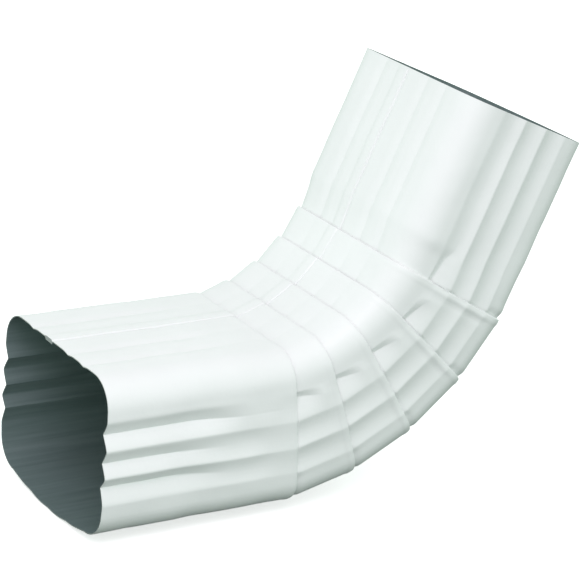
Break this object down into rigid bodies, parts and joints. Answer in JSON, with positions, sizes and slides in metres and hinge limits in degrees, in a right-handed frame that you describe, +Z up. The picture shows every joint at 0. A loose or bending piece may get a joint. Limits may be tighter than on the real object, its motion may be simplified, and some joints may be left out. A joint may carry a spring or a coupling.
{
  "type": "downspout elbow",
  "caption": "Corrugated rectangular sheet-metal downspout elbow with crimped laps that turn the flow from a leaning inlet arm to a level outlet arm.",
  "frame": {"origin": "middle of the inlet's mouth, in the plane of its rim", "axes": "the outlet arm lies along X and water leaves it towards -X; the bend lies in the XZ plane, with +Z up and the throat of the bend on the upper side; Y runs across the duct"},
  "size_m": [0.2759, 0.1112, 0.2113],
  "materials": {
    "white_painted_sheet": "semi-gloss"
  },
  "bodies": {
    "root": {"elbow": "white_painted_sheet"}
  },
  "joints": []
}
